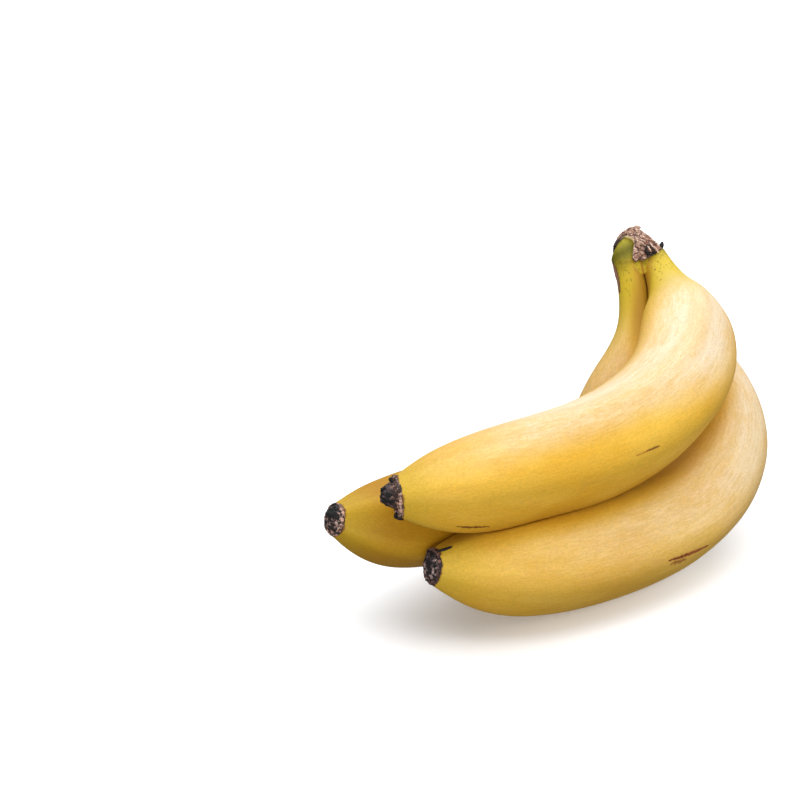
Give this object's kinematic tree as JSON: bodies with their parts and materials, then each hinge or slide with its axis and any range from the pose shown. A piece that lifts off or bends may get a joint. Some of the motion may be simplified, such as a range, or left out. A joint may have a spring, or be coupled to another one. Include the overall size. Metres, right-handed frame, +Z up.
{
  "type": "bunch of bananas",
  "caption": "Small bunch of ripe yellow bananas, curved fruits joined at one crown with a dried brown cut, lying on their sides.",
  "frame": {"origin": "on the surface that the bunch lies on, under the middle of its bounding box", "axes": "+Z up from the surface; the flower ends point to -Y and -X, and the crown is at +Y and up"},
  "size_m": [0.1654, 0.1684, 0.097],
  "materials": {
    "peel": "satin",
    "crown_skin": "satin",
    "dried_cut": "rough",
    "dried_flower_end": "rough"
  },
  "bodies": {
    "root": {"fruit_top": "peel", "fruit_front": "peel", "fruit_back": "peel", "crown": "crown_skin", "crown_cut": "dried_cut", "flower_end_top": "dried_flower_end", "flower_end_front": "dried_flower_end", "flower_end_back": "dried_flower_end"}
  },
  "joints": []
}
